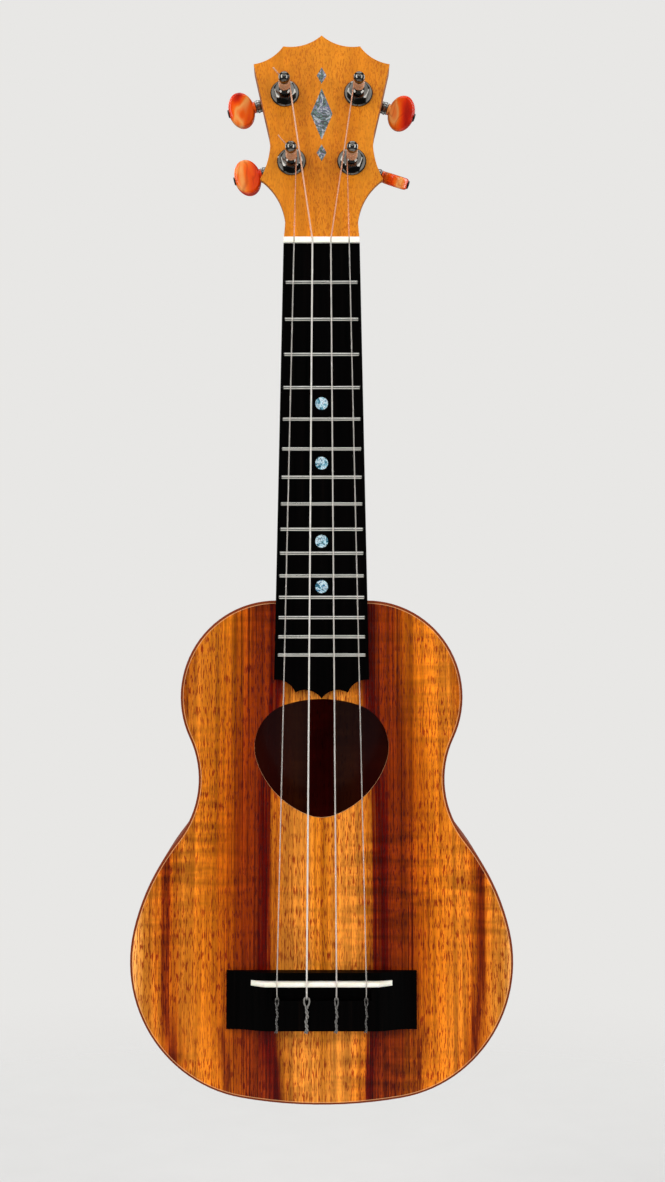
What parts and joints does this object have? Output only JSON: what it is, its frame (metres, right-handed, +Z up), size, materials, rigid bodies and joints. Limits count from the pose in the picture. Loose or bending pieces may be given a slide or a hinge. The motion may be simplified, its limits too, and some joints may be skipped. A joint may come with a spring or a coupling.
{
  "type": "ukulele",
  "caption": "Soprano ukulele with a figure-eight body, rounded-triangle sound hole, scalloped fretboard end, crown headstock and geared tuners that turn their string posts.",
  "frame": {"origin": "centre line, in the plane of the soundboard's face, at the fretboard edge of the nut, where a wall hanger's yoke passes under the headstock", "axes": "+Z up the neck towards the headstock, -Y towards the strings, +X towards the first string's side"},
  "size_m": [0.1822, 0.0754, 0.5228],
  "materials": {
    "koa_top": "oiled koa, satin",
    "koa_body": "oiled koa, satin",
    "mahogany": "satin mahogany",
    "ebony": "polished ebony",
    "fret_wire": "polished nickel silver",
    "shell": "polished abalone shell",
    "bone": "polished bone",
    "nylon": "translucent monofilament",
    "black_nickel": "black nickel plate",
    "dark_chrome": "black nickel plate, worn bright",
    "black_screw": "black oxide",
    "amber_pearl": "marbled amber pearloid",
    "gear_brass": "cut brass",
    "inner_wood": "unfinished spruce and mahogany",
    "bolt_steel": "plain steel"
  },
  "bodies": {
    "root": {"back_braces": "inner_wood", "back_plate": "koa_body", "bridge": "ebony", "bushing_nuts": "black_nickel", "cover_a": "black_nickel", "cover_c": "black_nickel", "cover_e": "black_nickel", "cover_g": "black_nickel", "end_block": "inner_wood", "fretboard": "ebony", "frets": "fret_wire", "headplate": "koa_top", "headstock_inlay": "shell", "heel_cap": "koa_body", "housing_a": "black_nickel", "housing_c": "black_nickel", "housing_e": "black_nickel", "housing_g": "black_nickel", "linings": "inner_wood", "mounting_screws": "black_screw", "neck": "mahogany", "neck_block": "inner_wood", "neck_bolt": "bolt_steel", "nut": "bone", "position_dots": "shell", "saddle": "bone", "side_left": "koa_body", "side_right": "koa_body", "soundboard": "koa_top", "soundboard_braces": "inner_wood", "string_a": "nylon", "string_c": "nylon", "string_e": "nylon", "string_g": "nylon", "washers": "black_nickel"},
    "shaft_g": {"worm_shaft_g": "dark_chrome", "button_g": "amber_pearl", "button_screw_g": "black_screw"},
    "post_body_g": {"post_g": "black_nickel", "gear_g": "gear_brass", "winding_g": "nylon"},
    "shaft_c": {"worm_shaft_c": "dark_chrome", "button_c": "amber_pearl", "button_screw_c": "black_screw"},
    "post_body_c": {"post_c": "black_nickel", "gear_c": "gear_brass", "winding_c": "nylon"},
    "shaft_e": {"worm_shaft_e": "dark_chrome", "button_e": "amber_pearl", "button_screw_e": "black_screw"},
    "post_body_e": {"post_e": "black_nickel", "gear_e": "gear_brass", "winding_e": "nylon"},
    "shaft_a": {"worm_shaft_a": "dark_chrome", "button_a": "amber_pearl", "button_screw_a": "black_screw"},
    "post_body_a": {"post_a": "black_nickel", "gear_a": "gear_brass", "winding_a": "nylon"}
  },
  "joints": [
    {"name": "button_spin_g", "type": "hinge", "parent": "root", "child": "shaft_g", "pos_m": [-0.01626, 0.02241, 0.04494], "axis": [-0.9636, -0.0418, -0.2639], "continuous": true},
    {"name": "post_spin_g", "type": "hinge", "parent": "root", "child": "post_body_g", "pos_m": [-0.015, 0.01715, 0.04118], "axis": [0, 0.9877, -0.1564], "continuous": true},
    {"name": "button_spin_c", "type": "hinge", "parent": "root", "child": "shaft_c", "pos_m": [-0.01976, 0.02819, 0.08148], "axis": [-0.9636, -0.0418, -0.2639], "continuous": true},
    {"name": "post_spin_c", "type": "hinge", "parent": "root", "child": "post_body_c", "pos_m": [-0.0185, 0.02294, 0.07773], "axis": [0, 0.9877, -0.1564], "continuous": true},
    {"name": "button_spin_e", "type": "hinge", "parent": "root", "child": "shaft_e", "pos_m": [0.02007, 0.02818, 0.08139], "axis": [0.9426, -0.0522, -0.3297], "continuous": true},
    {"name": "post_spin_e", "type": "hinge", "parent": "root", "child": "post_body_e", "pos_m": [0.0185, 0.02294, 0.07773], "axis": [0, 0.9877, -0.1564], "continuous": true},
    {"name": "button_spin_a", "type": "hinge", "parent": "root", "child": "shaft_a", "pos_m": [0.01657, 0.02239, 0.04484], "axis": [0.9426, -0.0522, -0.3297], "continuous": true},
    {"name": "post_spin_a", "type": "hinge", "parent": "root", "child": "post_body_a", "pos_m": [0.015, 0.01715, 0.04118], "axis": [0, 0.9877, -0.1564], "continuous": true}
  ],
  "couplings": [
    {"joint": "post_spin_g", "follows": "button_spin_g", "ratio": 0.071429},
    {"joint": "post_spin_c", "follows": "button_spin_c", "ratio": 0.071429},
    {"joint": "post_spin_e", "follows": "button_spin_e", "ratio": -0.071429},
    {"joint": "post_spin_a", "follows": "button_spin_a", "ratio": -0.071429}
  ]
}
